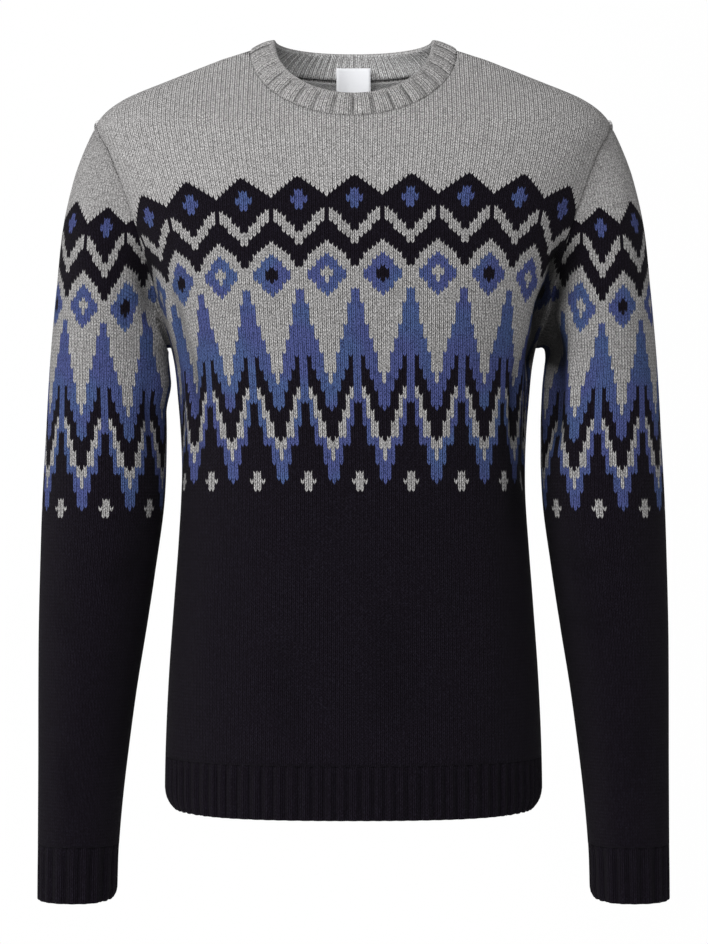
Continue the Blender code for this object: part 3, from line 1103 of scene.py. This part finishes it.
# how far from the armhole, and how near the tube's two sides, columns follow the tube
FOLLOW_START = 0.010
FOLLOW_REACH = 0.070
NEAR_SIDE = 0.80
NEAR_SIDE_FADE = 0.2
# how many stitches the front axis turns towards the body, which differs from arm to arm
DRIFT_HEIGHTS = np.array([-0.401, -0.353, -0.293, -0.263, -0.232, -0.202, -0.141])
DRIFT = {1: (2.8, 2.5, 1.9, 1.4, 0.75, 0.0, -0.6), -1: (2.3, 1.4, 0.7, 0.6, 0.45, 0.0, -0.5)}


def sleeve_stitches(points, around, from_seam, side):
    """Stitches are counted by the angle round an upright tube, so they don't fan with the rings."""
    x, y, z = np.moveaxis(points, -1, 0)
    rings = SLEEVE_RINGS[::-1]
    outer = np.interp(z, rings[:, 1], rings[:, 0])
    inner = np.interp(z, rings[:-4, 3], rings[:-4, 2])
    middle_height = (rings[:, 1] + rings[:, 3]) / 2
    depth = np.interp(z, middle_height, rings[:, 4])
    forward = np.interp(z, middle_height, rings[:, 5])
    middle = (outer + inner) / 2
    out = (x - middle) / (outer - inner) * 2
    plain = np.arctan2(out, -(y + forward) / depth)
    # beside the armhole the columns hang straight down instead of following the tube
    hung = np.arcsin(np.clip(out, -0.985, 0.985))
    hung = np.where(around > 0.5, pi - hung, hung)
    plain = np.where(around > 0.5, plain % (2 * pi), plain)
    far = ease((from_seam - FOLLOW_START) / FOLLOW_REACH)
    follow = np.maximum(far, ease((abs(out) - NEAR_SIDE) / NEAR_SIDE_FADE))
    angle = hung + (plain - hung) * follow
    column = SLEEVE_STITCHES * angle / (2 * pi) + np.interp(z, DRIFT_HEIGHTS, DRIFT[side])
    level = z - np.interp(z, SLEEVE_TILT_HEIGHTS, SLEEVE_TILT) * (x - middle)
    lift = ARMPIT_LIFT * np.exp(-((from_seam / ARMPIT_REACH) ** 2))
    lift = lift * ease((LIFT_TOP - z) / LIFT_FADE)
    row = np.interp(level - lift, SLEEVE_ROW_HEIGHTS, SLEEVE_ROW_COUNTS)
    return np.stack([column * side, row], axis=-1)


def sleeve(name, side):
    u, v = grid(SLEEVE_COLUMNS, SLEEVE_ROWS)
    ring = CUFF_SEAM * (1 - v)
    points = sleeve_point(ring, u)
    normal = outward(points, tube=True)
    rise = length_up(points)
    from_cuff, from_seam = rise, rise[-1:] - rise
    stitches = sleeve_stitches(points, u, from_seam, side)
    in_front = ease(0.5 - points[..., 1] / FRONT_TO_BACK)
    relief = crease_relief(SLEEVE_FRONT_CREASES[side], points) * in_front
    relief = relief + crease_relief(SLEEVE_BACK_CREASES[side], points) * (1 - in_front)
    relief = relief * fade_from(np.minimum(from_cuff, from_seam), CREASE_REACH)
    # painted shade: darker in the armpits and under the sleeve's arch, and in the creases by their
    # depth
    dark = ARMPIT_PAINTED_SHADE[side] * armpit_share(points) + ARCH_PAINTED_SHADE[side] * arch_share(points)
    painted_shade = np.clip(-relief / CREASE_SHADE_DEPTH + dark, 0, 1)
    relief = relief + ARMHOLE_ROLL[side] * roll(from_seam) * below_shoulder(points)
    points = sink_armpits(points) + normal * relief[..., None]
    points[..., 0] *= side
    bm = skin(points, stitches, painted_shade, tube=True, mirrored=side < 0)
    piece = add_piece(name, bm, [pattern_face, pattern_back])
    wall(piece, JERSEY_WALL)
    return piece


sleeve_left = sleeve("jumper_sleeve_left", 1)
sleeve_right = sleeve("jumper_sleeve_right", -1)

# %% [markdown]
# ## Ribbed edges
#
# The hem, cuffs and neckband are knitted in rib: columns of knit stand out and columns of purl
# sink between them, so the edge is corrugated and springs in. A real shape is better than bump
# here, because the grooves show at the edge. Each band is doubled cloth, so it is laid as one closed
# loop: down its outer face, round its free edge and back up inside.

# %% A doubled band
OUTER_STEPS = 12
TURN_STEPS = 6
INNER_STEPS = 8
FINE_ROWS = 40  # of the plain grid that a band's normals come from
RIB_STITCH = 0.0036
RIB_ROW = 0.0030
# painted shade: a rib's grooves are darkened by their depth, fully at this depth
GROOVE_SHADE_DEPTH = 0.0065  # the depth at which a groove would hold back all its light


def section(length, thickness):
    """A band's section as shares along it from its seam, and depths below its outer face."""
    radius = thickness / 2
    flat = 1 - radius / length
    turn = np.linspace(0, pi, TURN_STEPS + 1)[1:-1]
    down, up = np.linspace(0, flat, OUTER_STEPS), np.linspace(flat, 0, INNER_STEPS)
    share = [down, flat + np.sin(turn) * radius / length, up, [0]]
    depth = [0 * down, radius * (1 - np.cos(turn)), 0 * up + thickness, [0]]
    return np.concatenate(share), np.concatenate(depth)


def band(name, place, columns, length, thickness, outer, inner, materials, tube, side=1, hangs=True):
    """A ribbed band. place(u, v) lays it from seam to edge, and outer and inner give its relief."""
    facing_out = -1 if hangs else 1  # a grid that is laid downwards faces in
    share, depth = section(length, thickness)
    u, v = np.meshgrid(np.arange(columns + 1) / columns, share)
    points = place(u, v)
    fine = place(*grid(columns, FINE_ROWS))
    run = length_across(fine)[FINE_ROWS // 2]
    normals = outward(fine, tube) * facing_out
    normal = normals[np.round(share * FINE_ROWS).astype(int)]
    facing = np.where(depth[:, None] < thickness / 2, outer(run, share[:, None]), 0)
    lining = np.where(depth[:, None] > thickness / 2, inner(run, share[:, None]), 0)
    points = points + normal * (facing + lining - depth[:, None])[..., None]
    points[..., 0] *= side
    # shade painted into the grooves of the rib, by their depth
    painted_shade = np.clip(-(facing + lining) / GROOVE_SHADE_DEPTH, 0, 1)
    walked = np.where(depth > thickness / 2, 2 - share, share)[:, None] * length / RIB_ROW
    stitches = np.stack(np.broadcast_arrays(run / RIB_STITCH, walked), axis=-1)
    bm = skin(points, stitches, painted_shade, tube=tube)
    bmesh.ops.remove_doubles(bm, verts=bm.verts[:], dist=1e-6)
    open_edges = [edge for edge in bm.edges if edge.is_boundary]
    if open_edges:
        bmesh.ops.holes_fill(bm, edges=open_edges)
    bmesh.ops.recalc_face_normals(bm, faces=bm.faces[:])
    rows_down = bm.loops.layers.uv["stitches"]
    for face in bm.faces:
        inside = min(loop[rows_down].uv.y for loop in face.loops) > length / RIB_ROW
        face.material_index = int(inside)
    return add_piece(name, bm, materials)


print("a band's section has", OUTER_STEPS + TURN_STEPS + INNER_STEPS, "points")

# %% [markdown]
# ## Hem and cuffs
#
# Both are a two-by-two rib in the navy yarn. Seen close, its ribs are never quite even, so their
# spacing wanders a little along the edge.

# %% Knit the hem and cuffs
RIB_DEPTH = 0.0022
RIB_WALL = 0.0034
RIB_WANDER = 0.16  # of a rib
COLUMNS_PER_RIB = 10
SEAM_FLATTENS = 0.45  # how much of its depth a rib loses at its seam
INNER_DEPTH = 0.6  # of the outer depth


def corrugation(run, count):
    """Ribs along an edge: 1 on a rib's crown and 0 in the groove between two ribs."""
    phase = run / run[-1] * count
    phase = phase + RIB_WANDER * np.sin(2 * pi * phase / count * 3) * np.sin(0.9 * phase)
    return np.sqrt(0.5 + 0.5 * np.cos(2 * pi * phase))


HEM_CURL = 0.085  # how far the hem's corners pull in, as a share of the width
HEM_CURL_REACH = 0.42  # of the hem's height
CUFF_CURL = 0.00675
CUFF_CURL_REACH = 0.25


def pull_in(v, reach):
    """0 over most of a band, then a quarter circle in towards its edge."""
    return 1 - np.sqrt(1 - np.clip((v - 1 + reach) / reach, 0, 0.995) ** 2)


def hem_place(middle):
    """Lays a hem from side seam to side seam, round the turn of its middle."""

    def place(u, v):
        turn = middle + pi / 2 * (2 * u - 1)
        points = body_point(turn, HEM_SEAM + (HEM_EDGE - HEM_SEAM) * v)
        points[..., 0] *= 1 - HEM_CURL * pull_in(v, HEM_CURL_REACH) * np.sin(turn) ** 6
        return points

    return place


def cuff_place(u, v):
    points = sleeve_point(CUFF_SEAM + (CUFF_EDGE - CUFF_SEAM) * v, u)
    inner = np.cos(2 * pi * u)  # 1 at the underarm side
    points[..., 0] += CUFF_CURL * pull_in(v, CUFF_CURL_REACH) * np.maximum(inner, 0) ** 4
    return points


HEM_LENGTH = HEM_SEAM - HEM_EDGE
CUFF_LENGTH = 0.049
HEM_RIBS = 44
CUFF_RIBS = 19


def ribbed(name, place, count, length, tube=False, side=1):
    def outer(run, share):
        settle = 1 - SEAM_FLATTENS * (1 - ease(share / 0.2))
        return RIB_DEPTH * (corrugation(run, count) - 1) * settle

    def inner(run, share):
        return RIB_DEPTH * INNER_DEPTH * (1 - corrugation(run, count))

    return band(
        name, place, count * COLUMNS_PER_RIB, length, RIB_WALL,
        outer, inner, [navy_rib, navy_rib], tube, side,
    )


hem_front = ribbed("jumper_hem_front", hem_place(0), HEM_RIBS, HEM_LENGTH)
hem_back = ribbed("jumper_hem_back", hem_place(pi), HEM_RIBS, HEM_LENGTH)
cuff_left = ribbed("jumper_cuff_left", cuff_place, CUFF_RIBS, CUFF_LENGTH, tube=True)
cuff_right = ribbed("jumper_cuff_right", cuff_place, CUFF_RIBS, CUFF_LENGTH, tube=True, side=-1)

# %% [markdown]
# ## Neckband
#
# The neckband is a wide grey rib, folded over and linked to the neckline. Its outer face shows
# broad flat plates with a fine groove between them, and its lining is a closer rib that shows
# inside the back of the neck. It leans in from the seam to a smaller free edge, lowest in front.

# %% Fold the neckband
BAND_HALF_WIDTH = 0.069
BAND_FRONT_REACH = 0.066
BAND_BACK_REACH = 0.062
BAND_SIDE_RISE = 0.010
BAND_FRONT_HEIGHT = -0.0445
BAND_BACK_HEIGHT = 0.006
BAND_SWELL = 0.0015
BAND_LENGTH = 0.027
BAND_WALL = 0.0044
PLATES = 31
PLATE_GROOVE = 0.0026
GROOVE_WIDTH = 0.0012
PLATE_CROWN = 0.0005
BAND_ROLL = 0.4
LINING_RIBS = 76
LINING_RELIEF = 0.0014
# shares of the band's height at which the plates start and the reliefs fade out
PLATE_START = 0.10
PLATE_END = 0.72
PLATE_FADE = 0.22
LINING_END = 0.80
LINING_FADE = 0.20


def neckband_place(u, v):
    """Points of the neckband from its seam to its free edge, around from the back."""
    turn = 2 * pi * u - pi
    at_back = abs(turn) > pi / 2
    from_centre = np.where(at_back, pi - abs(turn), abs(turn))
    seam = np.where(at_back[..., None], neck_point(from_centre, True), neck_point(from_centre, False))
    seam[..., 0] *= np.where(turn < 0, -1, 1)
    reach = np.where(at_back, -BAND_BACK_REACH, BAND_FRONT_REACH)
    end_height = np.where(at_back, BAND_BACK_HEIGHT, BAND_FRONT_HEIGHT)
    edge = np.stack(
        [
            BAND_HALF_WIDTH * np.sin(turn),
            -reach * np.cos(from_centre),
            BAND_SIDE_RISE + (end_height - BAND_SIDE_RISE) * np.cos(from_centre),
        ],
        axis=-1,
    )
    swell = np.stack([np.sin(turn), -np.cos(turn), np.ones(turn.shape)], axis=-1) / np.sqrt(2)
    return lerp(seam, edge, v) + swell * (BAND_SWELL * np.sin(pi * v))[..., None]


def plates(run, share):
    phase = run / run[-1] * PLATES + 0.5
    gap = abs(phase - np.round(phase)) * run[-1] / PLATES
    crown = PLATE_CROWN * np.cos(2 * pi * phase)
    edge_fade = 1 - ease((share - PLATE_END) / PLATE_FADE)
    relief = -PLATE_GROOVE * np.exp(-((gap / GROOVE_WIDTH) ** 2)) - crown
    relief = relief * edge_fade * ease(share / PLATE_START)  # no groove at the seam itself
    return relief + uneven(run) * roll(share * BAND_LENGTH) * BAND_ROLL


def lining(run, share):
    phase = run / run[-1] * LINING_RIBS
    edge_fade = 1 - ease((share - LINING_END) / LINING_FADE)
    return LINING_RELIEF * (0.6 - np.sqrt(0.5 + 0.5 * np.cos(2 * pi * phase))) * edge_fade


neckband = band(
    "jumper_neckband", neckband_place, PLATES * 14, BAND_LENGTH, BAND_WALL,
    plates, lining, [grey_rib, grey_lining], True, hangs=False,
)

# %% [markdown]
# ## Label
#
# A short woven tape is sewn inside the back of the neck. It is left bare. Woven tape is smoother
# and closer than the knitting, so it gets its own white finish with a fine weave, and a slight
# sheen.

# %% Weave and hang the label
LABEL_WIDTH = 0.031
LABEL_TOP = -0.008
LABEL_LENGTH = 0.030
LABEL_WALL = 0.0008
LABEL_STANDOFF = 0.0070
LABEL_SWAY = 0.0008
TAPE_SHADE = (0.84, 0.85, 0.88, 1)
TAPE_WHITE = (0.93, 0.94, 0.97, 1)
WARP = 9000  # threads are this many radians to the metre
WEFT = 7000


def woven_tape(name):
    material, shader, paint = new_material(name)
    place = object_place(paint)
    warp = paint.maths("SINE", place.part(0) * WARP)
    weft = paint.maths("SINE", place.part(2) * WEFT)
    weave = warp * weft * 0.5 + 0.5
    paint.mix(weave, TAPE_SHADE, TAPE_WHITE).feed(shader, "Base Color")
    bump = paint.node("ShaderNodeBump", {}, {"Height": weave, "Distance": 0.0001, "Strength": 0.4})
    bump.feed(shader, "Normal")
    set_sockets(shader, {"Roughness": 0.55, "Sheen Weight": 0.2})
    return material


def hang_label():
    u, v = grid(12, 12)
    across = LABEL_WIDTH * (0.5 - u)
    top_y = BAND_BACK_REACH + (BAND_BACK_HEIGHT - LABEL_TOP) / 8
    curve = across**2 / (2 * BAND_HALF_WIDTH)
    sway = LABEL_SWAY * (1 - v) * np.sin(2 * pi * u)
    y = top_y - curve - LABEL_STANDOFF - sway
    points = np.stack([across, y, LABEL_TOP + LABEL_LENGTH * (v - 1)], axis=-1)
    label = add_piece("jumper_label", skin(points, np.stack([u, v], axis=-1), 0 * u), [white_tape] * 2)
    wall(label, LABEL_WALL)
    return label


white_tape = woven_tape("white_label_tape")
label = hang_label()

# %% [markdown]
# ## Putting the pieces in place of the solids
#
# Each piece takes the place of its solid and moves with the only body. Each is also a sheet of
# cloth, and the table lists its cut: the width and length of the flat piece before it was sewn, all
# round for a sleeve or a band, and its area where the cut isn't a rectangle, with its finish's slot.
# The loop below uses only the piece and its solid's name.

# %% Ride and replace
Cut = namedtuple("Cut", "piece node slot width length area")
CUTS = [
    Cut(front, "front", "patterned_knit", 0.47, 0.60, 0.262),
    Cut(back, "back", "patterned_knit", 0.46, 0.64, 0.272),
    Cut(sleeve_left, "sleeve_left", "patterned_knit", 0.41, 0.62, 0.185),
    Cut(sleeve_right, "sleeve_right", "patterned_knit", 0.41, 0.62, 0.185),
    Cut(neckband, "neckband", "grey_rib", 0.48, 0.027, None),
    Cut(hem_front, "hem_front", "navy_rib", 0.46, 0.046, None),
    Cut(hem_back, "hem_back", "navy_rib", 0.46, 0.046, None),
    Cut(cuff_left, "cuff_left", "navy_rib", 0.19, 0.049, None),
    Cut(cuff_right, "cuff_right", "navy_rib", 0.19, 0.049, None),
    Cut(label, "label", "label_tape", 0.031, 0.030, None),
]
for cut in CUTS:
    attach(cut.piece, "root")
    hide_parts(cut.node)
print("declared", len(CUTS), "sheets of cloth")

# %% [markdown]
# ## Camera, floor and light
#
# The camera looks at the garment straight from the front, from far enough away that it doesn't
# bulge. A round pale floor lies well below it. There is no wall behind, which would stand in the way
# of a view from the back: the world itself is white round the horizon and dimmer above and below, as
# in a round tent of white cloth. Soft lights on the upper left model the creases and the knitting.

# %% Stage
CAMERA_DISTANCE = 2.6
CAMERA_HEIGHT = -0.371
LENS = 112.6
FLOOR_HEIGHT = -1.45
FLOOR_RADIUS = 2.2
HORIZON_LIGHT = 1.0
DOME_LIGHT = 0.24
# how much of the light from the left and the right is held back
LEFT_FLAG = 0.10
RIGHT_FLAG = 0.45
# how high over the horizon the tent starts to dim, and over how much it goes on
TENT_EDGE = 0.24
TENT_FADE = 0.20
LIT_PLACE = (0, 0, -0.3)

scene = bpy.context.scene
scene.view_settings.view_transform = "Standard"


def paper(name):
    material, shader, _ = new_material(name)
    set_sockets(shader, {"Base Color": (0.93, 0.93, 0.93, 1), "Roughness": 0.9})
    return material


def floor_disc(name):
    bm = bmesh.new()
    bmesh.ops.create_circle(bm, cap_ends=True, radius=FLOOR_RADIUS, segments=96)
    bmesh.ops.translate(bm, verts=bm.verts[:], vec=(0, 0, FLOOR_HEIGHT))
    return add_piece(name, bm, [paper("white_paper")])


floor_disc("studio_floor")

camera = bpy.data.objects.new("camera", bpy.data.cameras.new("camera"))
camera.data.lens = LENS
camera.data.sensor_width = 36
camera.location = (0.0004, -CAMERA_DISTANCE, CAMERA_HEIGHT)
camera.rotation_euler = (radians(90), 0, 0)
scene.collection.objects.link(camera)
scene.camera = camera


def area_light(name, place, size, power):
    """A soft round light that is aimed at the middle of the chest."""
    light = bpy.data.objects.new(name, bpy.data.lights.new(name, "AREA"))
    light.data.shape = "DISK"
    light.data.size = size
    light.data.energy = power
    light.location = place
    aim = np.array(LIT_PLACE) - np.array(place)
    light.rotation_euler = (
        float(np.arctan2(np.hypot(aim[0], aim[1]), -aim[2])), 0, float(np.arctan2(-aim[0], aim[1]))
    )
    scene.collection.objects.link(light)


area_light("key", (-2.2, -2.1, 1.2), 1.5, 58)
area_light("front", (-0.6, -3.5, 0.6), 2.2, 42)
area_light("top", (-0.3, 0.4, 2.2), 1.8, 13)


def light_tent(name):
    """A world that is white round the horizon and dimmer overhead and underfoot."""
    world = bpy.data.worlds.new(name)
    world.use_nodes = True
    sky = Signal(world.node_tree)
    direction = sky.node("ShaderNodeTexCoord", {}, {}, 0)
    away = ((abs(direction.part(2)) - TENT_EDGE) / TENT_FADE).clamped()
    sideways = direction.part(0)
    strength = away * (DOME_LIGHT - HORIZON_LIGHT) + HORIZON_LIGHT
    right = sky.maths("MAXIMUM", sideways, 0.0)
    left = sky.maths("MINIMUM", sideways, 0.0)
    strength = strength * (1 - right * right * RIGHT_FLAG - left * left * LEFT_FLAG)
    background = world.node_tree.nodes["Background"]
    set_sockets(background, {"Color": (1, 1, 1, 1)})
    strength.feed(background, "Strength")
    return world


scene.world = light_tent("light_tent")
print("the floor lies", round(SLEEVE_RINGS[-1, 1] - FLOOR_HEIGHT, 2), "m below the cuffs")
